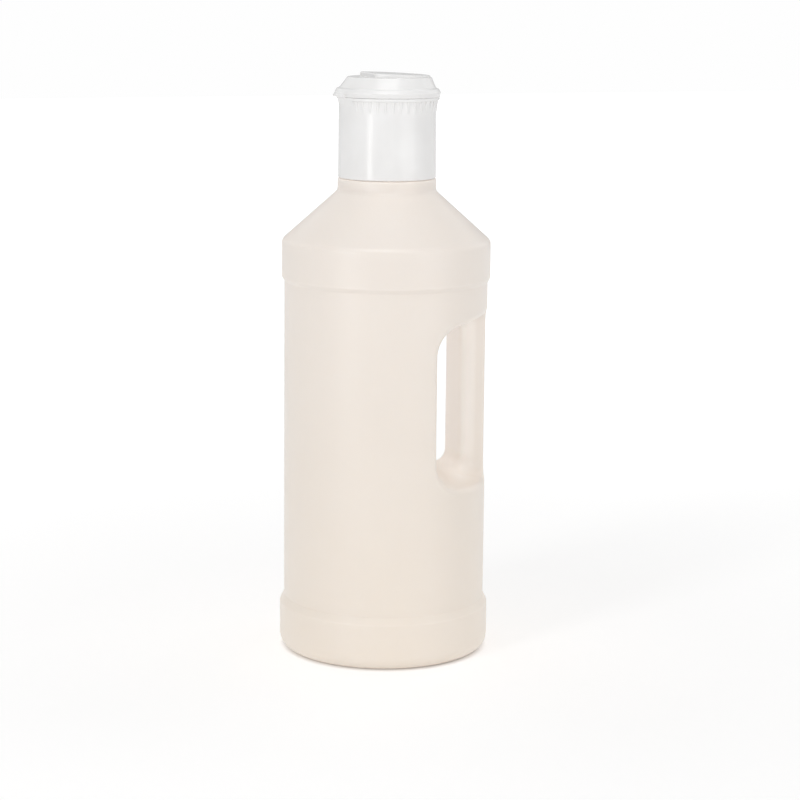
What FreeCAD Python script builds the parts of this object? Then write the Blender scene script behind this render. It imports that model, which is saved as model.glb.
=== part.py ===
import FreeCAD, Part

import math
import os

# Dosing bottle. Millimetres, +Z up, origin at the middle of the base, grip towards +X, pouring side
# towards -X. The body is blow-moulded; the head that screws on its neck holds the dosing chamber.

Vector = FreeCAD.Vector
ORIGIN = Vector(0, 0, 0)
UP = Vector(0, 0, 1)
ACROSS = Vector(0, 1, 0)
SAME_POINT = 1e-6

# Bottle body, from the base up
wall = 1.1
barrel_radius = 42.95
barrel_top = 158.2
base_band_step = 1.75
base_band_height = 19.4
base_edge_rounding = 5.3
base_dish_depth = 3.0
foot_ring_width = 9.7
foot_ring_rounding = 3.0
pinch_ridge_length = 56.0
pinch_ridge_width = 1.2
pinch_ridge_height = 0.45
lower_step_rise = 3.4
upper_step_rise = 1.7
step_rounding = 1.2
shoulder_band_step = 1.05
shoulder_band_height = 15.6
shoulder_rounding = 3.0
shoulder_slope = 41.85
neck_bore_radius = 15.6
neck_wall = 2.0
neck_height = 18.0
neck_ring_step = 3.1
neck_ring_height = 5.0
neck_ring_rounding = 2.5
lip_rounding = 0.6

# Grip: a finger opening through the body beside a hollow bar
opening_side = 10.6
opening_side_sag = 3.0
opening_height = 57.5
opening_below_band = 19.7
opening_top_sag = 2.0
opening_bottom_sag = 4.5
opening_slope = 10.0
opening_corner_rounding = 13.0
opening_edge_rounding = 2.4
grip_thickness = 12.25
grip_half_width = 13.0
grip_taper = 14.0
grip_rounding = 5.0
grip_root_rounding = 6.0

# Seal, chamber insert and tubes
seal_thickness = 1.0
seal_margin = 0.1
insert_clearance = 0.3
insert_wall = 1.2
insert_depth = 25.0
insert_flange_thickness = 1.6
insert_flange_clearance = 0.4
insert_foot_rounding = 2.0
tube_bore_radius = 3.0
tube_wall = 1.0
tube_fit = 0.06
sleeve_wall = 1.3
sleeve_height = 18.0
socket_depth = 11.0
socket_stop = 1.0
riser_foot_gap = 2.5
riser_cut_angle = 35.0
level_tube_length = 24.0
level_tube_foot_gap = 0.5
splash_cap_overhang = 1.3
splash_cap_thickness = 1.2
window_height = 2.8
window_width = 3.2
window_count = 4

# Dosing collar
thread_space = 1.4
collar_ring_gap = 0.3
collar_length = 33.55
skirt_wall = 1.55
collar_draft = 0.17
collar_wall = 1.45
clamp_ledge_width = 1.8
clamp_ledge_thickness = 1.6
rim_overhang = 1.17
rim_height = 1.3
spout_flare = 0.62
spout_flare_height = 3.3
rib_pitch = 9.0
rib_thickness = 1.1
rib_height = 4.7
rib_foot_step = 0.07
rib_head_step = 0.72
thumb_gap_half_angle = 27.0

# Flip lid
lid_gap = 0.2
lid_wall = 1.3
lid_height = 8.0
lid_foot_overhang = 0.05
lid_edge_overhang = 0.55
lid_edge_height = 1.8
lid_edge_top_inset = 0.25
lid_edge_top_height = 3.2
lid_cone_foot_inset = 1.45
lid_cone_foot_height = 3.7
lid_cone_run = 2.6
lid_top_offset = 0.8
plug_clearance = 0.3
plug_wall = 1.2
plug_depth = 2.8
panel_inset = 2.5
panel_margin = 0.5
panel_chord = 8.9
panel_rise = 1.8
panel_fall = 2.4
tab_overhang = 1.25
tab_edge_height = 0.5
tab_half_angle = 17.0
hinge_overhang = 0.15
hinge_half_width = 4.2
hinge_split = 0.8
hinge_bead_radius = 0.3
hinge_bead_clearance = 0.06

# Roundings of the small injection-moulded edges
fine_rounding = 0.2
edge_rounding = 0.3
soft_rounding = 0.5
root_rounding = 1.0

# Radii that follow from the sizes above
base_band_radius = barrel_radius + base_band_step
foot_inner_radius = base_band_radius - foot_ring_width
shoulder_band_radius = barrel_radius + shoulder_band_step
grip_inner_side = barrel_radius - grip_thickness
neck_radius = neck_bore_radius + neck_wall
neck_ring_radius = neck_radius + neck_ring_step
skirt_bore_radius = neck_radius + thread_space
insert_flange_radius = skirt_bore_radius - insert_flange_clearance
clamp_ledge_radius = skirt_bore_radius - clamp_ledge_width
tube_radius = tube_bore_radius + tube_wall
collar_foot_radius = skirt_bore_radius + skirt_wall
collar_head_radius = collar_foot_radius - collar_draft
chamber_bore_radius = collar_head_radius - collar_wall
rim_radius = collar_head_radius + rim_overhang
lid_foot_radius = rim_radius + lid_foot_overhang
lid_edge_radius = rim_radius + lid_edge_overhang
lid_edge_top_radius = rim_radius - lid_edge_top_inset
lid_cone_foot_radius = rim_radius - lid_cone_foot_inset
lid_top_radius = lid_cone_foot_radius - lid_cone_run
panel_radius = lid_top_radius - panel_inset
tab_radius = rim_radius + tab_overhang
hinge_radius = rim_radius + hinge_overhang

# Heights that follow from the sizes above
opening_top = barrel_top - opening_below_band
opening_bottom = opening_top - opening_height
shoulder_band_top = barrel_top + upper_step_rise + shoulder_band_height
shoulder_rise = (shoulder_band_radius - neck_ring_radius) * math.tan(math.radians(shoulder_slope))
neck_ring_bottom = shoulder_band_top + shoulder_rise
neck_ring_top = neck_ring_bottom + neck_ring_height
lip_height = neck_ring_top + neck_height
flange_bottom = lip_height + seal_thickness
flange_top = flange_bottom + insert_flange_thickness
insert_floor = flange_top - insert_depth
collar_foot = neck_ring_top + collar_ring_gap
collar_top = collar_foot + collar_length
lid_foot = collar_top + lid_gap
lid_top = lid_foot + lid_height
hinge_height = collar_top + lid_gap / 2

# Roundings of the grip, held within the walls that carry them
finger_gap = grip_inner_side - opening_side
corner_rounding = min(opening_corner_rounding, 0.65 * finger_gap)
bar_rounding = min(grip_rounding, 0.43 * grip_thickness)
bar_root_rounding = min(grip_root_rounding, 0.3 * finger_gap)


def outline_face(corners):
    """Flat face in the XZ plane in a closed outline of (x, z, rounding) corners: runs and tangent arcs."""
    edges = []
    count = len(corners)
    first = None
    leave = None
    for i in range(count):
        x, z, radius = corners[i]
        corner = Vector(x, 0, z)
        arc = None
        if radius > 0:
            before = Vector(corners[i - 1][0], 0, corners[i - 1][1])
            after = Vector(corners[(i + 1) % count][0], 0, corners[(i + 1) % count][1])
            back = (before - corner).normalize()
            ahead = (after - corner).normalize()
            half_angle = back.getAngle(ahead) / 2
            reach = radius / math.tan(half_angle)
            depth = radius / math.sin(half_angle) - radius
            middle = corner + (back + ahead).normalize() * depth
            arc = Part.Arc(corner + back * reach, middle, corner + ahead * reach)
        enter = arc.StartPoint if arc else corner
        if first is None:
            first = enter
        elif (enter - leave).Length > SAME_POINT:
            edges.append(Part.makeLine(leave, enter))
        if arc:
            edges.append(arc.toShape())
        leave = arc.EndPoint if arc else corner
    if (first - leave).Length > SAME_POINT:
        edges.append(Part.makeLine(leave, first))
    return Part.Face(Part.Wire(edges))


def revolved(corners, angle=360.0, start=180.0):
    """Solid turned about Z from a closed outline of (radius, height, rounding) corners."""
    solid = outline_face(corners).revolve(ORIGIN, UP, angle)
    return solid.rotate(ORIGIN, UP, start)


def inset_corners(corners, inset):
    """An open outline, run with the inside on its left, moved inwards by inset at every run."""
    lines = []
    for (x0, z0, _), (x1, z1, _) in zip(corners, corners[1:]):
        length = math.hypot(x1 - x0, z1 - z0)
        along = ((x1 - x0) / length, (z1 - z0) / length)
        lines.append((x0 - along[1] * inset, z0 + along[0] * inset, along[0], along[1]))
    moved = [(lines[0][0], lines[0][1], 0)]
    for i in range(1, len(lines)):
        ax, az, adx, adz = lines[i - 1]
        bx, bz, bdx, bdz = lines[i]
        turn = adx * bdz - adz * bdx
        step = ((bx - ax) * bdz - (bz - az) * bdx) / turn
        radius = corners[i][2]
        if radius > 0:
            radius = radius - inset if turn > 0 else radius + inset
        moved.append((ax + adx * step, az + adz * step, max(radius, 0)))
    dx, dz = lines[-1][2], lines[-1][3]
    last = corners[-1]
    moved.append((last[0] - dz * inset, last[1] + dx * inset, 0))
    return moved


def barrel_solid(inset):
    """The turned form of the body without its grip; an inset form is the hollow, open at the neck."""
    outline = [
        (0, base_dish_depth, 0),
        (foot_inner_radius, 0, foot_ring_rounding),
        (base_band_radius, 0, base_edge_rounding),
        (base_band_radius, base_band_height, step_rounding),
        (barrel_radius, base_band_height + lower_step_rise, step_rounding),
        (barrel_radius, barrel_top, step_rounding),
        (shoulder_band_radius, barrel_top + upper_step_rise, step_rounding),
        (shoulder_band_radius, shoulder_band_top, shoulder_rounding),
        (neck_ring_radius, neck_ring_bottom, neck_ring_rounding),
        (neck_ring_radius, neck_ring_top, lip_rounding),
        (neck_radius, neck_ring_top, 0),
    ]
    if inset == 0:
        neck = [(neck_radius, lip_height, lip_rounding), (0, lip_height, 0)]
        return revolved(outline + neck)
    hollow = inset_corners(outline, inset)
    hollow[0] = (0, base_dish_depth + inset, 0)
    hollow[-1] = (neck_bore_radius, neck_ring_top - inset, 0)
    above = lip_height + neck_height
    return revolved(hollow + [(neck_bore_radius, above, 0), (0, above, 0)])


def crowned_block(inset):
    """Block cut through the body for the fingers: its side, top and bottom fall back towards its mouths."""
    reach = barrel_radius
    far = 1.5 * barrel_radius
    side = opening_side - inset
    mouth = side - opening_side_sag
    side_arc = Part.Arc(Vector(mouth, -reach, 0), Vector(side, 0, 0), Vector(mouth, reach, 0))
    plan = [
        side_arc.toShape(),
        Part.makeLine(Vector(mouth, reach, 0), Vector(far, reach, 0)),
        Part.makeLine(Vector(far, reach, 0), Vector(far, -reach, 0)),
        Part.makeLine(Vector(far, -reach, 0), Vector(mouth, -reach, 0)),
    ]
    plan_block = Part.Face(Part.Wire(plan)).extrude(UP * 2 * opening_top)
    sections = []
    for x in (0.0, far):
        spread = x * math.tan(math.radians(opening_slope))
        top = opening_top + inset + spread
        bottom = opening_bottom - inset - spread
        high = top + opening_top_sag
        low = bottom - opening_bottom_sag
        roof = Part.Arc(Vector(x, -reach, high), Vector(x, 0, top), Vector(x, reach, high))
        floor = Part.Arc(Vector(x, reach, low), Vector(x, 0, bottom), Vector(x, -reach, low))
        back = Part.makeLine(Vector(x, reach, high), Vector(x, reach, low))
        front = Part.makeLine(Vector(x, -reach, low), Vector(x, -reach, high))
        sections.append(Part.Wire([roof.toShape(), back, floor.toShape(), front]))
    side_block = Part.makeLoft(sections, True, True)
    block = plan_block.common(side_block)
    corners = []
    for edge in block.Edges:
        box = edge.BoundBox
        if box.YLength > reach and box.XMax < grip_inner_side:
            corners.append(edge)
    return block.makeFillet(corner_rounding + inset, corners)


def grip_bar(inset):
    """Upright bar that the hand holds, narrower outwards; it runs on past the barrel, which trims it."""
    low = opening_bottom - opening_height / 2
    inner = grip_inner_side + inset
    far = 1.5 * barrel_radius
    taper = math.radians(grip_taper)
    margin = inset / math.cos(taper)
    half_inner = grip_half_width - margin - inset * math.tan(taper)
    half_far = grip_half_width - margin - (far - grip_inner_side) * math.tan(taper)
    plan = Part.makePolygon([
        Vector(inner, -half_inner, low),
        Vector(far, -half_far, low),
        Vector(far, half_far, low),
        Vector(inner, half_inner, low),
        Vector(inner, -half_inner, low),
    ])
    bar = Part.Face(plan).extrude(UP * 2 * opening_height)
    upright = [edge for edge in bar.Edges if edge.BoundBox.ZLength > opening_height]
    inner_edges = [edge for edge in upright if edge.BoundBox.XMax < barrel_radius]
    return bar.makeFillet(bar_rounding - inset, inner_edges)


def body_form(inset):
    """Form of the whole body moved inwards by inset: nothing for its outside, the wall for its hollow."""
    bar = grip_bar(inset)
    cutter = crowned_block(inset).cut(bar)
    roots = []
    for edge in cutter.Edges:
        middle = Part.Vertex(edge.valueAt((edge.FirstParameter + edge.LastParameter) / 2))
        across_bar = edge.BoundBox.ZLength < opening_height / 2
        if across_bar and middle.distToShape(bar)[0] < 0.001:
            roots.append(edge)
    cutter = cutter.makeFillet(bar_root_rounding + inset, roots)
    form = barrel_solid(inset).cut(cutter)
    mouths = []
    for edge in form.Edges:
        steps = [edge.FirstParameter + (edge.LastParameter - edge.FirstParameter) * k / 4 for k in range(5)]
        points = [edge.valueAt(step) for step in steps]
        on_barrel = all(abs(math.hypot(p.x, p.y) - barrel_radius + inset) < 0.01 for p in points)
        beside_grip = all(p.x > 0 for p in points)
        if on_barrel and beside_grip:
            mouths.append(edge)
    return form.makeFillet(opening_edge_rounding - inset, mouths)


def pinch_ridge():
    """Low ridge along the dished base, where the mould pinched off the tube that the body is blown from."""
    end = pinch_ridge_length / 2
    end_height = base_dish_depth * (1 - end / foot_inner_radius)
    web = outline_face([
        (-end, end_height - pinch_ridge_height, 0),
        (0, base_dish_depth - pinch_ridge_height, 0),
        (end, end_height - pinch_ridge_height, 0),
        (end, end_height + wall / 2, 0),
        (0, base_dish_depth + wall / 2, 0),
        (-end, end_height + wall / 2, 0),
    ])
    return web.extrude(ACROSS * pinch_ridge_width).translate(ACROSS * (-pinch_ridge_width / 2))


def bottle_body():
    """Blow-moulded body: outside and hollow are the same form, a wall apart."""
    return body_form(0).cut(body_form(wall)).fuse(pinch_ridge())


def neck_seal():
    """Soft flat ring between the lip of the neck and the flange of the insert."""
    inner = neck_bore_radius + seal_margin
    outer = neck_radius - seal_margin
    return revolved([
        (inner, lip_height, 0),
        (outer, lip_height, 0),
        (outer, flange_bottom, 0),
        (inner, flange_bottom, 0),
    ])


def chamber_insert():
    """Cup hung in the neck by its flange, with a sleeve above its floor and a tube socket below it."""
    cup = neck_bore_radius - insert_clearance
    inside = cup - insert_wall
    bore = tube_radius + tube_fit
    sleeve = bore + sleeve_wall
    floor_foot = insert_floor - insert_wall
    stop = floor_foot - socket_stop
    return revolved([
        (tube_bore_radius, stop, 0),
        (tube_radius, stop, 0),
        (tube_radius, floor_foot - socket_depth, 0),
        (tube_radius + sleeve_wall, floor_foot - socket_depth, edge_rounding),
        (tube_radius + sleeve_wall, floor_foot, root_rounding),
        (cup, floor_foot, insert_foot_rounding),
        (cup, flange_bottom, 0),
        (insert_flange_radius, flange_bottom, 0),
        (insert_flange_radius, flange_top, edge_rounding),
        (inside, flange_top, soft_rounding),
        (inside, insert_floor, root_rounding),
        (sleeve, insert_floor, root_rounding),
        (sleeve, insert_floor + sleeve_height, edge_rounding),
        (bore, insert_floor + sleeve_height, edge_rounding),
        (bore, insert_floor, 0),
        (tube_bore_radius, insert_floor, 0),
    ])


def riser_tube():
    """Dip tube from just above the base to its socket, its foot cut at a slant."""
    foot = base_dish_depth + wall + riser_foot_gap
    head = insert_floor - insert_wall - socket_stop
    tube = revolved([
        (tube_bore_radius, foot, 0),
        (tube_radius, foot, 0),
        (tube_radius, head, 0),
        (tube_bore_radius, head, 0),
    ])
    size = 4 * tube_radius
    slant = Part.makeBox(2 * size, size, size, Vector(-tube_radius, -size / 2, -size))
    slant.rotate(Vector(-tube_radius, 0, 0), ACROSS, -riser_cut_angle)
    slant.translate(Vector(0, 0, foot))
    return tube.cut(slant)


def level_tube():
    """Standpipe in the insert's sleeve, with windows under a closed cap that stops a jet."""
    foot = insert_floor + level_tube_foot_gap
    head = foot + level_tube_length
    under_cap = head - splash_cap_thickness
    splash_cap = tube_radius + splash_cap_overhang
    tube = revolved([
        (tube_bore_radius, foot, 0),
        (tube_radius, foot, edge_rounding),
        (tube_radius, under_cap, 0),
        (splash_cap, under_cap, fine_rounding),
        (splash_cap, head, soft_rounding),
        (0, head, 0),
        (0, under_cap, 0),
        (tube_bore_radius, under_cap, 0),
    ])
    corner = Vector(0, -window_width / 2, under_cap - window_height)
    window = Part.makeBox(2 * tube_radius, window_width, window_height, corner)
    windows = []
    for i in range(window_count):
        windows.append(window.copy().rotate(ORIGIN, UP, 360.0 / window_count * (i + 0.5)))
    return tube.cut(windows)


def hinge_bead(clearance):
    """Round bar along the hinge line, in two lengths with a split between them, and room around it."""
    bars = []
    length = hinge_half_width - hinge_split + 2 * clearance
    for start in (-hinge_half_width, hinge_split):
        foot = Vector(hinge_radius, start - clearance, hinge_height)
        bars.append(Part.makeCylinder(hinge_bead_radius + clearance, length, foot, ACROSS))
    return bars


def hinge_land(low, high, depth):
    """Small block that squares off the round edge where the hinge film runs."""
    corner = Vector(hinge_radius - depth, -hinge_half_width, low)
    return Part.makeBox(depth, 2 * hinge_half_width, high - low, corner)


def collar_rib(angle):
    """Small gusset that carries the rim on the collar's wall."""
    top = collar_top - rim_height
    inner = collar_head_radius - collar_wall / 2
    web = outline_face([
        (inner, top - rib_height, 0),
        (collar_head_radius + rib_foot_step, top - rib_height, 0),
        (collar_head_radius + rib_head_step, top, 0),
        (inner, top, 0),
    ])
    rib = web.extrude(ACROSS * rib_thickness)
    sides = [edge for edge in rib.Edges if edge.BoundBox.XMin > collar_head_radius]
    rib = rib.makeFillet(edge_rounding, [edge for edge in sides if edge.BoundBox.ZLength > 0])
    return rib.translate(ACROSS * (-rib_thickness / 2)).rotate(ORIGIN, UP, angle)


def dosing_collar():
    """Tall head that screws on the neck: skirt, clamping ledge, chamber wall and ribbed rim."""
    shell = revolved([
        (skirt_bore_radius, collar_foot, edge_rounding),
        (collar_foot_radius, collar_foot, soft_rounding),
        (collar_head_radius, collar_top, 0),
        (chamber_bore_radius, collar_top, edge_rounding),
        (chamber_bore_radius, flange_top + clamp_ledge_thickness, soft_rounding),
        (clamp_ledge_radius, flange_top + clamp_ledge_thickness, edge_rounding),
        (clamp_ledge_radius, flange_top, 0),
        (skirt_bore_radius, flange_top, 0),
    ])
    inner = collar_head_radius - collar_wall / 2
    rim = revolved([
        (inner, collar_top - rim_height, 0),
        (rim_radius, collar_top - rim_height, soft_rounding),
        (rim_radius, collar_top, soft_rounding),
        (inner, collar_top, 0),
    ], 360 - 2 * thumb_gap_half_angle, 180 + thumb_gap_half_angle)
    flare = revolved([
        (inner, collar_top - spout_flare_height, 0),
        (collar_head_radius, collar_top - spout_flare_height, 0),
        (collar_head_radius + spout_flare, collar_top, 0),
        (inner, collar_top, 0),
    ], 2 * thumb_gap_half_angle, 180 - thumb_gap_half_angle)
    land = hinge_land(collar_top - rim_height, collar_top, hinge_radius - inner)
    ribs = []
    first = thumb_gap_half_angle + rib_pitch / 2
    count = int((360 - 2 * first) // rib_pitch) + 1
    for i in range(count):
        ribs.append(collar_rib(180 + first + i * rib_pitch))
    collar = shell.fuse([rim, flare, land] + ribs).removeSplitter()
    return collar.cut(hinge_bead(hinge_bead_clearance))


def leaning_cone(foot_radius, foot_height, top_radius, top_height):
    """Cone whose top circle lies a little towards the hinge, so that its pouring side is the flatter one."""
    foot = Part.makeCircle(foot_radius, Vector(0, 0, foot_height))
    top = Part.makeCircle(top_radius, Vector(lid_top_offset, 0, top_height))
    return Part.makeLoft([Part.Wire(foot), Part.Wire(top)], True, True)


def lid_panel():
    """Raised round panel with one flat side, its top falling towards the hinge."""
    centre = lid_top_offset + lid_top_radius - panel_radius - panel_margin
    foot = Vector(centre, 0, lid_top - lid_wall / 2)
    block = Part.makeCylinder(panel_radius, 2 * panel_rise, foot)
    wide = 3 * panel_radius
    keep = Part.makeBox(wide, 2 * wide, wide, Vector(-panel_chord, -wide, lid_top - lid_wall))
    above = Part.makeBox(2 * wide, 2 * wide, wide, Vector(-wide, -wide, 0))
    above.rotate(ORIGIN, ACROSS, panel_fall)
    above.translate(Vector(-panel_chord, 0, lid_top + panel_rise))
    panel = block.common(keep).cut(above)
    upper = [edge for edge in panel.Edges if edge.BoundBox.ZMin > lid_top]
    return panel.makeFillet(soft_rounding, upper)


def flip_lid():
    """Lid with a sealing plug, an edge flange, a thumb tab and the bead of its hinge."""
    edge = lid_foot + lid_edge_height
    edge_top = lid_foot + lid_edge_top_height
    cone_foot = lid_foot + lid_cone_foot_height
    inside = lid_foot_radius - lid_wall
    flange = revolved([
        (inside, lid_foot, 0),
        (lid_foot_radius, lid_foot, fine_rounding),
        (lid_edge_radius, edge, edge_rounding),
        (lid_edge_top_radius, edge_top, edge_rounding),
        (lid_cone_foot_radius, cone_foot, 0),
        (0, cone_foot, 0),
        (0, edge, 0),
        (inside, edge, 0),
    ])
    tab_top = edge_top - fine_rounding
    tab = revolved([
        (inside, lid_foot, 0),
        (tab_radius, lid_foot, fine_rounding),
        (tab_radius, lid_foot + tab_edge_height, fine_rounding),
        (lid_edge_top_radius - fine_rounding, tab_top, 0),
        (inside, tab_top, 0),
    ], 2 * tab_half_angle, 180 - tab_half_angle)
    cone = leaning_cone(lid_cone_foot_radius, cone_foot, lid_top_radius, lid_top)
    brim = [item for item in cone.Edges if item.BoundBox.ZMin > cone_foot + lid_wall]
    cone = cone.makeFillet(soft_rounding, brim)
    land = hinge_land(lid_foot, edge, lid_wall)
    lid = flange.fuse([cone, tab, land, lid_panel()])
    throat_head = lid_cone_foot_radius - lid_wall
    hollow = leaning_cone(throat_head, cone_foot, lid_top_radius - lid_wall, lid_top - lid_wall)
    throat = Part.makeCone(inside, throat_head, cone_foot - edge, Vector(0, 0, edge))
    lid = lid.cut([hollow, throat])
    plug = chamber_bore_radius - plug_clearance
    plug_root = cone_foot + lid_wall
    ring = revolved([
        (plug - plug_wall, lid_foot - plug_depth, fine_rounding),
        (plug, lid_foot - plug_depth, soft_rounding),
        (plug, plug_root, 0),
        (plug - plug_wall, plug_root, 0),
    ])
    return lid.fuse([ring] + hinge_bead(0)).removeSplitter()


def export(nodes):
    """One STEP file for each piece."""
    os.makedirs("parts", exist_ok=True)
    for name, shape in nodes.items():
        shape.exportStep("parts/" + name + ".step")


export({
    "bottle_body": bottle_body(),
    "neck_seal": neck_seal(),
    "chamber_insert": chamber_insert(),
    "riser_tube": riser_tube(),
    "level_tube": level_tube(),
    "dosing_collar": dosing_collar(),
    "flip_lid": flip_lid(),
})
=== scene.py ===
import math
import bmesh
import bpy
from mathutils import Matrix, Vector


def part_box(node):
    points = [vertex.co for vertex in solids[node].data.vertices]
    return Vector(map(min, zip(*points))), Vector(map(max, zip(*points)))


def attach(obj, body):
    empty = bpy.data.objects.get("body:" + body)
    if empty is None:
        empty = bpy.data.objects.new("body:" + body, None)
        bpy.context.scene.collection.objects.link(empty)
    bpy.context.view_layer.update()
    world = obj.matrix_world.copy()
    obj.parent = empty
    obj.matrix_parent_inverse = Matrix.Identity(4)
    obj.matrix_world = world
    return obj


# Dosing bottle: a blow-moulded bottle with a side grip, and a screwed head that measures one dose.
# Metres, +Z up, grip towards +X. The sections follow the object as it is put together, from the base up.

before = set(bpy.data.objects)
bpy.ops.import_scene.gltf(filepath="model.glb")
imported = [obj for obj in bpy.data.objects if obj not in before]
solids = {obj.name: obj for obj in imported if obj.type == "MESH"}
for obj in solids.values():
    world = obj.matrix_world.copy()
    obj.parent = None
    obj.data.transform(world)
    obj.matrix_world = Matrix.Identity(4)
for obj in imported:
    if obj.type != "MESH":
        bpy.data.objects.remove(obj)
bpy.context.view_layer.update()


# ---- Bottle body --------------------------------------------------------------------------------
# Blown from natural HDPE between two sandblasted mould halves, which part along the middle of the
# grip. The skin is waxy and a little see-through, with faint streaks from the die that drew the tube.

# The low and high tints are painted light: lighter towards the top, where more light falls from above
hdpe_painted_shade_low = (0.868, 0.766, 0.668, 1.0)
hdpe_painted_light_high = (0.892, 0.806, 0.745, 1.0)
hdpe_milky = (0.898, 0.801, 0.720, 1.0)
# Painted light on the grip's inner side: a paler tint, and a faint glow that is no lamp
hdpe_painted_light_on_grip = (0.990, 0.925, 0.855, 1.0)
painted_glow_in_grip = (0.066, 0.076, 0.090, 1.0)
no_light = (0.0, 0.0, 0.0, 1.0)
hdpe_roughness = (0.29, 0.38)
hdpe_skin_depth = 0.00077
die_streak_depth = 0.00004
parting_line_half_width = 0.00022
parting_line_height = 0.00005
sill_heights = (0.070, 0.084)
lintel_heights = (0.142, 0.152)
off_barrel_distances = (0.019, 0.028)
grip_inner_radii = (0.0330, 0.0390)
blotch_strength = 0.35

# Most of a noise lies in the wide span, and its middle half in the narrow one
wide_span = (0.3, 0.7)
narrow_span = (0.35, 0.65)


def new_finish(name):
    """A new material with one Principled shader on its output."""
    material = bpy.data.materials.new(name)
    material.use_nodes = True
    made = material.node_tree.nodes
    made.clear()
    output = made.new("ShaderNodeOutputMaterial")
    shader = made.new("ShaderNodeBsdfPrincipled")
    material.node_tree.links.new(shader.outputs["BSDF"], output.inputs["Surface"])
    return material, made, material.node_tree.links, shader


def moulded_skin_group():
    """What every moulded plastic here shows: a slow unevenness of the cooled wall under a fine grain."""
    group = bpy.data.node_groups.new("moulded_skin", "ShaderNodeTree")
    group.interface.new_socket("Place", in_out="INPUT", socket_type="NodeSocketVector")
    for name in ("Wave Scale", "Grain Scale", "Grain Share"):
        group.interface.new_socket(name, in_out="INPUT", socket_type="NodeSocketFloat")
    for name in ("Height", "Mottle"):
        group.interface.new_socket(name, in_out="OUTPUT", socket_type="NodeSocketFloat")
    made = group.nodes
    links = group.links
    given = made.new("NodeGroupInput")
    result = made.new("NodeGroupOutput")
    wave = made.new("ShaderNodeTexNoise")
    wave.inputs["Detail"].default_value = 2.0
    grain = made.new("ShaderNodeTexNoise")
    grain.inputs["Detail"].default_value = 3.0
    mix = made.new("ShaderNodeMix")
    links.new(given.outputs["Place"], wave.inputs["Vector"])
    links.new(given.outputs["Wave Scale"], wave.inputs["Scale"])
    links.new(given.outputs["Place"], grain.inputs["Vector"])
    links.new(given.outputs["Grain Scale"], grain.inputs["Scale"])
    links.new(given.outputs["Grain Share"], mix.inputs["Factor"])
    links.new(wave.outputs["Fac"], mix.inputs["A"])
    links.new(grain.outputs["Fac"], mix.inputs["B"])
    links.new(mix.outputs["Result"], result.inputs["Height"])
    links.new(wave.outputs["Fac"], result.inputs["Mottle"])
    return group


moulded_skin = moulded_skin_group()


def add_skin(made, links, wave_scale, grain_scale, grain_share):
    """Places the moulded skin in a material, on the piece's own coordinates."""
    place = made.new("ShaderNodeTexCoord")
    skin = made.new("ShaderNodeGroup")
    skin.node_tree = moulded_skin
    skin.inputs["Wave Scale"].default_value = wave_scale
    skin.inputs["Grain Scale"].default_value = grain_scale
    skin.inputs["Grain Share"].default_value = grain_share
    links.new(place.outputs["Object"], skin.inputs["Place"])
    return place.outputs["Object"], skin


def add_range(made, links, source, span, result):
    """Maps a value that runs over a span to a result that runs over another, held at both ends."""
    spread = made.new("ShaderNodeMapRange")
    spread.inputs["From Min"].default_value = span[0]
    spread.inputs["From Max"].default_value = span[1]
    spread.inputs["To Min"].default_value = result[0]
    spread.inputs["To Max"].default_value = result[1]
    links.new(source, spread.inputs["Value"])
    return spread.outputs["Result"]


def add_tint(made, links, factor, first, second):
    """Mixes two colours, given or made by another tint, by a factor that changes over the surface."""
    mix = made.new("ShaderNodeMix")
    mix.data_type = "RGBA"
    for socket, tint in ((mix.inputs[6], first), (mix.inputs[7], second)):
        if isinstance(tint, tuple):
            socket.default_value = tint
        else:
            links.new(tint, socket)
    links.new(factor, mix.inputs[0])
    return mix.outputs[2]


def add_relief(made, links, height, depth, under=None):
    """Raises the surface by up to depth, in metres, on top of any relief under it."""
    bump = made.new("ShaderNodeBump")
    bump.inputs["Distance"].default_value = depth
    links.new(height, bump.inputs["Height"])
    if under is not None:
        links.new(under, bump.inputs["Normal"])
    return bump.outputs["Normal"]


def add_maths(made, links, operation, first, second=None):
    """One step of arithmetic on values that change over the surface."""
    step = made.new("ShaderNodeMath")
    step.operation = operation
    links.new(first, step.inputs[0])
    if second is not None:
        links.new(second, step.inputs[1])
    return step.outputs[0]


def add_streaks(made, links, place, fineness, stretch):
    """Fine streaks that run up the piece, as a die or a flow of melt leaves them."""
    drawn_out = made.new("ShaderNodeMapping")
    drawn_out.inputs["Scale"].default_value = (1.0, 1.0, stretch)
    links.new(place, drawn_out.inputs["Vector"])
    streaks = made.new("ShaderNodeTexNoise")
    streaks.inputs["Scale"].default_value = fineness
    streaks.inputs["Detail"].default_value = 2.0
    links.new(drawn_out.outputs["Vector"], streaks.inputs["Vector"])
    return streaks.outputs["Fac"]


def grip_painted_light_mask(made, links, place, axes):
    """Mask that is 1 on the side of the grip that the fingers touch, and fades out around it: where the
    grip's painted light goes.
    """
    flat = made.new("ShaderNodeVectorMath")
    flat.operation = "MULTIPLY"
    flat.inputs[1].default_value = (1.0, 1.0, 0.0)
    links.new(place, flat.inputs[0])
    reach = made.new("ShaderNodeVectorMath")
    reach.operation = "LENGTH"
    links.new(flat.outputs["Vector"], reach.inputs[0])
    off_barrel = add_range(made, links, axes.outputs["X"], off_barrel_distances, (0.0, 1.0))
    inside_grip = add_range(made, links, reach.outputs["Value"], grip_inner_radii, (1.0, 0.0))
    across = add_maths(made, links, "MULTIPLY", off_barrel, inside_grip)
    over_sill = add_range(made, links, axes.outputs["Z"], sill_heights, (0.0, 1.0))
    under_lintel = add_range(made, links, axes.outputs["Z"], lintel_heights, (1.0, 0.0))
    upright = add_maths(made, links, "MULTIPLY", over_sill, under_lintel)
    return add_maths(made, links, "MULTIPLY", upright, across)


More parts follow.
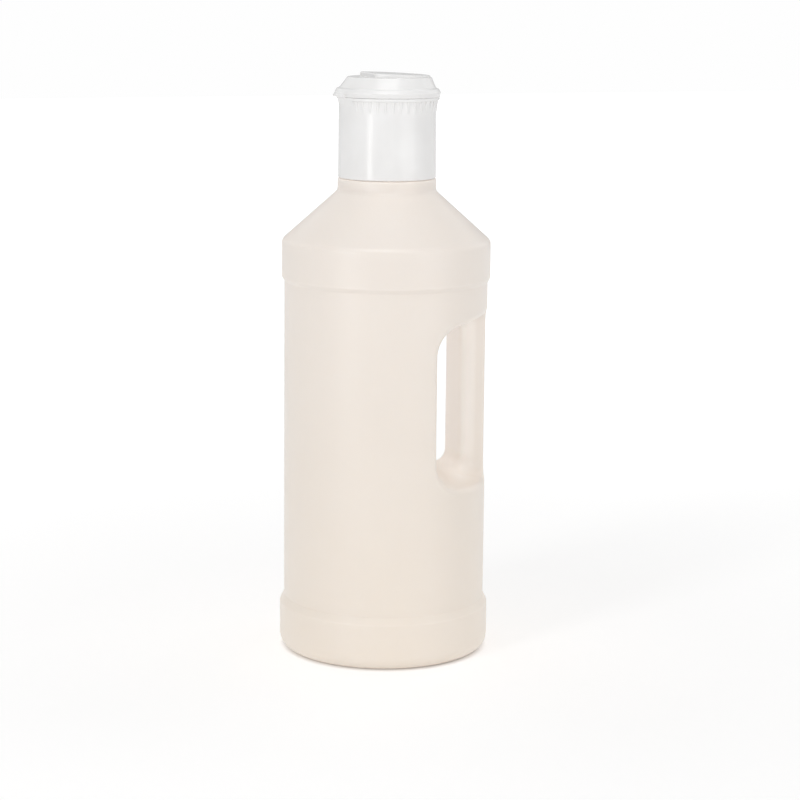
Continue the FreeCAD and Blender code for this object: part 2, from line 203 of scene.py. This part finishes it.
def make_natural_hdpe():
    material, made, links, shader = new_finish("natural_hdpe")
    place, skin = add_skin(made, links, wave_scale=26.0, grain_scale=2200.0, grain_share=0.03)
    axes = made.new("ShaderNodeSeparateXYZ")
    links.new(place, axes.inputs["Vector"])

    # Painted light from above: the body is painted lighter and cooler towards the top, and darker and
    # warmer low down
    low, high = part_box("bottle_body")
    rise = add_range(made, links, axes.outputs["Z"], (low.z, high.z), (0.0, 1.0))
    depth = add_tint(made, links, rise, hdpe_painted_shade_low, hdpe_painted_light_high)
    blotch = add_range(made, links, skin.outputs["Mottle"], narrow_span, (0.0, blotch_strength))
    skin_tint = add_tint(made, links, blotch, depth, hdpe_milky)

    # Painted light in the finger opening: the grip's inner side is painted paler against its shade, and
    # glows faintly as if daylight came through the wall
    painted_light_share = grip_painted_light_mask(made, links, place, axes)
    links.new(add_tint(made, links, painted_light_share, skin_tint, hdpe_painted_light_on_grip), shader.inputs["Base Color"])
    painted_grip_glow = add_tint(made, links, painted_light_share, no_light, painted_glow_in_grip)
    links.new(painted_grip_glow, shader.inputs["Emission Color"])
    shader.inputs["Emission Strength"].default_value = 1.0

    # The mould halves meet at y = 0 and leave a fine raised line
    off_plane = add_maths(made, links, "ABSOLUTE", axes.outputs["Y"])
    parting_line = add_range(made, links, off_plane, (0.0, parting_line_half_width), (1.0, 0.0))
    streaks = add_streaks(made, links, place, fineness=160.0, stretch=0.03)
    skin_relief = add_relief(made, links, skin.outputs["Height"], hdpe_skin_depth)
    streak_relief = add_relief(made, links, streaks, die_streak_depth, skin_relief)
    relief = add_relief(made, links, parting_line, parting_line_height, streak_relief)
    links.new(relief, shader.inputs["Normal"])

    rough = add_range(made, links, skin.outputs["Mottle"], wide_span, hdpe_roughness)
    links.new(rough, shader.inputs["Roughness"])
    shader.inputs["IOR"].default_value = 1.54
    shader.inputs["Subsurface Weight"].default_value = 0.6
    shader.inputs["Subsurface Radius"].default_value = (1.0, 0.95, 0.9)
    shader.inputs["Subsurface Scale"].default_value = 0.003
    return material


def dress(piece, material):
    """Gives a piece one material on all of its faces."""
    if not piece.material_slots:
        piece.data.materials.append(material)
    for held in piece.material_slots:
        held.material = material


natural_hdpe = make_natural_hdpe()
dress(solids["bottle_body"], natural_hdpe)


# ---- Neck thread --------------------------------------------------------------------------------
# Low ridge of one and a half turns, blown with the neck in the same HDPE. It rises four millimetres
# a turn, runs out at both ends, and draws the head down on its seal.

neck_radius = 0.0176
neck_thread_foot = 0.2062
thread_turns = 1.5
thread_pitch = 0.004
ridge_depth = 0.0011
ridge_foot = 0.0021
ridge_crest = 0.0010
ridge_sink = 0.00015
run_out_stub = 0.00002
run_out_steps = 8
steps_per_turn = 72
same_place = 1e-5
sharp_edge = math.radians(50.0)


def select_only(mesh, chosen):
    """Selects just these vertices of a mesh in edit mode."""
    for point in mesh.verts:
        point.select = False
    for point in chosen:
        point.select = True
    mesh.select_flush(True)


def thread_ridge(name, foot_radius, outward, low, turns):
    """Helical ridge that is swept from a trapezoid and dies into its wall, at foot_radius, at both ends.

    It stands out from the wall where outward is 1, and in towards the axis where outward is -1."""
    bpy.ops.object.select_all(action="DESELECT")
    bpy.ops.mesh.primitive_plane_add(size=1.0, rotation=(math.pi / 2, 0.0, 0.0))
    ridge = bpy.context.object
    ridge.name = name
    bpy.ops.object.transform_apply(location=True, rotation=True, scale=True)
    buried = foot_radius - outward * ridge_sink
    crest = foot_radius + outward * ridge_depth
    for corner in ridge.data.vertices:
        at_crest = (corner.co.x > 0.0) == (outward > 0)
        half = (ridge_crest if at_crest else ridge_foot) / 2
        corner.co.x = crest if at_crest else buried
        corner.co.z = low + (half if corner.co.z > 0.0 else -half)
    sweep = ridge.modifiers.new("sweep", "SCREW")
    sweep.axis = "Z"
    sweep.angle = 2 * math.pi * turns
    sweep.screw_offset = thread_pitch * turns
    sweep.steps = round(steps_per_turn * turns)
    sweep.render_steps = sweep.steps
    sweep.use_merge_vertices = False
    bpy.ops.object.mode_set(mode="EDIT")
    bpy.ops.mesh.select_all(action="SELECT")
    bpy.ops.mesh.delete(type="ONLY_FACE")
    bpy.ops.object.mode_set(mode="OBJECT")
    bpy.ops.object.modifier_apply(modifier=sweep.name)

    # Both ends run out: the crest sinks into the wall over the last steps, and the end is closed
    bpy.ops.object.mode_set(mode="EDIT")
    mesh = bmesh.from_edit_mesh(ridge.data)
    last = round(steps_per_turn * turns)
    crests = [p for p in mesh.verts if abs(math.hypot(p.co.x, p.co.y) - crest) < same_place]
    for step in range(run_out_steps):
        share = math.sin(step / run_out_steps * math.pi / 2)
        reach = buried + outward * run_out_stub + (crest - buried) * share
        for ring in (step, last - step):
            angle = 2 * math.pi * ring / steps_per_turn
            x, y = crest * math.cos(angle), crest * math.sin(angle)
            height = low + thread_pitch * ring / steps_per_turn
            select_only(mesh, [
                p for p in crests
                if abs(p.co.z - height) < ridge_foot and math.hypot(p.co.x - x, p.co.y - y) < same_place
            ])
            sunk = (reach / crest, reach / crest, 1.0)
            bpy.ops.transform.resize(value=sunk, center_override=(0.0, 0.0, height))
    bpy.ops.mesh.select_all(action="DESELECT")
    bpy.ops.mesh.select_mode(type="EDGE")
    bpy.ops.mesh.select_non_manifold()
    bpy.ops.mesh.fill()
    bpy.ops.mesh.select_all(action="SELECT")
    bpy.ops.mesh.normals_make_consistent(inside=False)
    bpy.ops.mesh.select_mode(type="VERT")
    bpy.ops.object.mode_set(mode="OBJECT")
    bpy.ops.object.shade_smooth_by_angle(angle=sharp_edge)
    return ridge


neck_thread = thread_ridge("neck_thread", neck_radius, 1, neck_thread_foot, thread_turns)
dress(neck_thread, natural_hdpe)
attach(neck_thread, "bottle")


# ---- Neck seal ----------------------------------------------------------------------------------
# Soft ring punched from foamed PE sheet, laid on the lip of the neck. The insert's flange presses it
# flat; its cut edge shows the cells of the foam.

foam_cell_middle = (0.86, 0.85, 0.83, 1.0)
foam_cell_wall = (0.72, 0.70, 0.67, 1.0)
foam_cells_per_metre = 2600.0
foam_cell_depth = 0.00006
foam_roughness = (0.75, 0.9)
foam_cell_span = (0.0, 0.7)


def make_foam_seal():
    material, made, links, shader = new_finish("foam_seal")
    place = made.new("ShaderNodeTexCoord")
    cells = made.new("ShaderNodeTexVoronoi")
    cells.inputs["Scale"].default_value = foam_cells_per_metre
    links.new(place.outputs["Object"], cells.inputs["Vector"])
    from_middle = cells.outputs["Distance"]
    near_wall = add_range(made, links, from_middle, foam_cell_span, (0.0, 1.0))
    tint = add_tint(made, links, near_wall, foam_cell_middle, foam_cell_wall)
    links.new(tint, shader.inputs["Base Color"])
    links.new(add_relief(made, links, from_middle, foam_cell_depth), shader.inputs["Normal"])
    rough = add_range(made, links, from_middle, foam_cell_span, foam_roughness)
    links.new(rough, shader.inputs["Roughness"])
    return material


dress(solids["neck_seal"], make_foam_seal())


# ---- Chamber insert -----------------------------------------------------------------------------
# Cup that hangs in the neck by its flange, with a sleeve and a socket for the two tubes. It is
# injection moulded in natural PP: milky, satin, with flow lines that spread up from the gate.

natural_pp_thick = (0.800, 0.796, 0.786, 1.0)
natural_pp_thin = (0.856, 0.852, 0.846, 1.0)
natural_pp_roughness = (0.30, 0.42)
natural_pp_skin_depth = 0.00014
flow_line_depth = 0.00003


def make_insert_plastic():
    material, made, links, shader = new_finish("insert_plastic")
    place, skin = add_skin(made, links, wave_scale=90.0, grain_scale=2600.0, grain_share=0.05)
    flow = add_streaks(made, links, place, fineness=240.0, stretch=0.12)
    shade = add_range(made, links, flow, narrow_span, (0.0, 1.0))
    tint = add_tint(made, links, shade, natural_pp_thick, natural_pp_thin)
    links.new(tint, shader.inputs["Base Color"])
    skin_relief = add_relief(made, links, skin.outputs["Height"], natural_pp_skin_depth)
    links.new(add_relief(made, links, flow, flow_line_depth, skin_relief), shader.inputs["Normal"])
    rough = add_range(made, links, skin.outputs["Mottle"], wide_span, natural_pp_roughness)
    links.new(rough, shader.inputs["Roughness"])
    shader.inputs["IOR"].default_value = 1.49
    shader.inputs["Subsurface Weight"].default_value = 0.35
    shader.inputs["Subsurface Radius"].default_value = (1.0, 0.97, 0.94)
    shader.inputs["Subsurface Scale"].default_value = 0.002
    return material


dress(solids["chamber_insert"], make_insert_plastic())


# ---- Riser tube and level tube ------------------------------------------------------------------
# Both are cut from extruded LDPE tube, cloudy and slightly bluish. The riser is pressed into the
# insert's socket; the level tube slides in the sleeve, so its rubbed wall is the glossier one.

ldpe_cloudy = (0.780, 0.800, 0.806, 1.0)
ldpe_clear = (0.850, 0.862, 0.866, 1.0)
ldpe_skin_depth = 0.00010
draw_line_depth = 0.00003
fresh_tube_roughness = (0.32, 0.44)
rubbed_tube_roughness = (0.20, 0.265)


def make_tube_plastic(name, roughness):
    material, made, links, shader = new_finish(name)
    place, skin = add_skin(made, links, wave_scale=140.0, grain_scale=2800.0, grain_share=0.04)
    drawn = add_streaks(made, links, place, fineness=900.0, stretch=0.02)
    shade = add_range(made, links, drawn, narrow_span, (0.0, 1.0))
    tint = add_tint(made, links, shade, ldpe_cloudy, ldpe_clear)
    links.new(tint, shader.inputs["Base Color"])
    skin_relief = add_relief(made, links, skin.outputs["Height"], ldpe_skin_depth)
    links.new(add_relief(made, links, drawn, draw_line_depth, skin_relief), shader.inputs["Normal"])
    rough = add_range(made, links, skin.outputs["Mottle"], wide_span, roughness)
    links.new(rough, shader.inputs["Roughness"])
    shader.inputs["IOR"].default_value = 1.51
    shader.inputs["Subsurface Weight"].default_value = 0.5
    shader.inputs["Subsurface Radius"].default_value = (0.95, 0.98, 1.0)
    shader.inputs["Subsurface Scale"].default_value = 0.0015
    return material


dress(solids["riser_tube"], make_tube_plastic("riser_ldpe", fresh_tube_roughness))
dress(solids["level_tube"], make_tube_plastic("level_ldpe", rubbed_tube_roughness))


# ---- Dosing collar ------------------------------------------------------------------------------
# Injection moulded in white PP: the skirt screws on the neck, and the wall above it holds the dose.
# The mould is polished, so the wall is glossy, with a slow flow unevenness and a few handling rubs.

white_pp_shade = (0.812, 0.806, 0.800, 1.0)
white_pp_bright = (0.852, 0.848, 0.844, 1.0)
collar_roughness = (0.17, 0.26)
collar_unevenness = 0.00018
rubs_per_metre = 220.0
rub_span = (0.4, 0.7)
skirt_bore = 0.0190
skirt_thread_foot = 0.2042


def make_white_pp(name, roughness, unevenness):
    material, made, links, shader = new_finish(name)
    place, skin = add_skin(made, links, wave_scale=60.0, grain_scale=3000.0, grain_share=0.02)
    flow = add_range(made, links, skin.outputs["Mottle"], wide_span, (0.0, 1.0))
    tint = add_tint(made, links, flow, white_pp_shade, white_pp_bright)
    links.new(tint, shader.inputs["Base Color"])
    links.new(add_relief(made, links, skin.outputs["Height"], unevenness), shader.inputs["Normal"])
    rubs = made.new("ShaderNodeTexNoise")
    rubs.inputs["Scale"].default_value = rubs_per_metre
    rubs.inputs["Detail"].default_value = 6.0
    links.new(place, rubs.inputs["Vector"])
    rough = add_range(made, links, rubs.outputs["Fac"], rub_span, roughness)
    links.new(rough, shader.inputs["Roughness"])
    shader.inputs["IOR"].default_value = 1.49
    shader.inputs["Subsurface Weight"].default_value = 0.08
    shader.inputs["Subsurface Radius"].default_value = (1.0, 0.95, 0.9)
    shader.inputs["Subsurface Scale"].default_value = 0.0015
    return material


collar_pp = make_white_pp("white_pp", collar_roughness, collar_unevenness)
dress(solids["dosing_collar"], collar_pp)

# The skirt's own thread runs half a pitch from the neck's and is moulded in one with the wall
collar_thread = thread_ridge("collar_thread", skirt_bore, -1, skirt_thread_foot, thread_turns)
dress(collar_thread, collar_pp)
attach(collar_thread, "collar")


# ---- Flip lid -----------------------------------------------------------------------------------
# Moulded in one shot with the collar and joined to it by a thin web. Its raised panel and thumb tab
# are touched at each use, so the lid is a little duller than the collar's wall.

lid_roughness = (0.20, 0.265)
lid_unevenness = 0.00014

dress(solids["flip_lid"], make_white_pp("lid_pp", lid_roughness, lid_unevenness))


# ---- Studio -------------------------------------------------------------------------------------
# A pale floor in a white room. One tall soft strip stands to the left of the camera, two broad lights
# stand behind, a weak one hangs overhead, and three even fills reach into the finger opening.

floor_side = 8.0
floor_tint = (0.90, 0.90, 0.90, 1.0)
floor_roughness = 0.8
floor_lift = 0.39
floor_lift_under_base = 0.18
shaded_radii = (0.0400, 0.0500)
base_edge_radii = (0.0412, 0.0447)
floor_seen_radii = (0.15, 1.6)
floor_seen_lift = (0.43, 0.80)
white = (1.0, 1.0, 1.0, 1.0)
room_seen = (0.991, 0.991, 0.991, 1.0)
room_strength = 0.49
bottle_middle = (0.0, 0.0, 0.13)
bottle_foot = (0.0, 0.0, 0.0)

bpy.ops.object.select_all(action="DESELECT")
bpy.ops.mesh.primitive_plane_add(size=floor_side)
floor = bpy.context.object
floor.name = "floor"
floor_finish, made, links, shader = new_finish("pale_floor")
shader.inputs["Base Color"].default_value = floor_tint
shader.inputs["Roughness"].default_value = floor_roughness
shader.inputs["Emission Color"].default_value = white
place = made.new("ShaderNodeTexCoord")
reach = made.new("ShaderNodeVectorMath")
reach.operation = "LENGTH"
links.new(place.outputs["Object"], reach.inputs[0])
from_axis = reach.outputs["Value"]

# The floor gives off a little light, less under the base, so that the contact line stays dark
path = made.new("ShaderNodeLightPath")
beyond_base = add_range(made, links, from_axis, base_edge_radii, (0.0, 1.0))
far_lift = add_range(made, links, from_axis, floor_seen_radii, floor_seen_lift)
seen_lift = add_maths(made, links, "MULTIPLY", beyond_base, far_lift)
cast_lift = add_range(made, links, from_axis, shaded_radii, (floor_lift_under_base, floor_lift))
lift = made.new("ShaderNodeMix")
links.new(path.outputs["Is Camera Ray"], lift.inputs["Factor"])
links.new(cast_lift, lift.inputs["A"])
links.new(seen_lift, lift.inputs["B"])
links.new(lift.outputs["Result"], shader.inputs["Emission Strength"])
dress(floor, floor_finish)

room = bpy.data.worlds.new("white_room")
room.use_nodes = True
made = room.node_tree.nodes
links = room.node_tree.links
made.clear()
seen = made.new("ShaderNodeBackground")
seen.inputs["Color"].default_value = room_seen
fill = made.new("ShaderNodeBackground")
fill.inputs["Color"].default_value = white
fill.inputs["Strength"].default_value = room_strength
path = made.new("ShaderNodeLightPath")
choose = made.new("ShaderNodeMixShader")
world_output = made.new("ShaderNodeOutputWorld")
links.new(path.outputs["Is Camera Ray"], choose.inputs["Fac"])
links.new(fill.outputs["Background"], choose.inputs[1])
links.new(seen.outputs["Background"], choose.inputs[2])
links.new(choose.outputs["Shader"], world_output.inputs["Surface"])
bpy.context.scene.world = room


def soft_light(name, place, aim, width, height, watts):
    """Rectangular soft light that faces its aim."""
    bpy.ops.object.light_add(type="AREA", location=place)
    lamp = bpy.context.object
    lamp.name = name
    lamp.data.shape = "RECTANGLE"
    lamp.data.size = width
    lamp.data.size_y = height
    lamp.data.energy = watts
    lamp.visible_camera = False
    across = math.atan2(aim[1] - place[1], aim[0] - place[0]) - math.pi / 2
    flat = math.hypot(aim[0] - place[0], aim[1] - place[1])
    lamp.rotation_euler = (math.atan2(flat, place[2] - aim[2]), 0.0, across)
    return lamp


soft_light("left_strip", (-1.20, -0.69, 0.32), bottle_middle, width=0.28, height=1.2, watts=4.6)
soft_light("back_right", (1.41, 0.51, 0.68), bottle_middle, width=1.0, height=1.0, watts=1.8)
soft_light("back_left", (-0.51, 1.41, 0.68), bottle_middle, width=1.0, height=1.0, watts=1.2)
soft_light("overhead", (0.0, 0.1, 1.6), bottle_foot, width=1.4, height=1.4, watts=0.4)

# The fills cast no shadow and leave the floor out, so the dark line where the base meets it stays
unfilled = bpy.data.collections.new("unfilled")
unfilled.objects.link(floor)
unfilled.collection_objects[0].light_linking.link_state = "EXCLUDE"
for name, place, watts in (
    ("fill_above", (-0.27, -0.75, 1.52), 7.8),
    ("fill_right", (0.79, -1.36, 0.41), 3.7),
    ("fill_behind", (0.27, 0.75, 1.52), 2.6),
):
    even_fill = soft_light(name, place, bottle_middle, width=1.0, height=1.0, watts=watts)
    even_fill.data.use_shadow = False
    even_fill.light_linking.receiver_collection = unfilled

lens_mm = 105.0
sensor_mm = 36.0
camera_place = (-0.33447, -0.91894, 0.28978)
camera_turns = (79.398, -0.565, -20.270)

camera_data = bpy.data.cameras.new("camera")
camera_data.lens = lens_mm
camera_data.sensor_width = sensor_mm
camera = bpy.data.objects.new("camera", camera_data)
camera.location = camera_place
camera.rotation_euler = [math.radians(turn) for turn in camera_turns]
bpy.context.scene.collection.objects.link(camera)
bpy.context.scene.camera = camera
bpy.context.scene.view_settings.view_transform = "Standard"
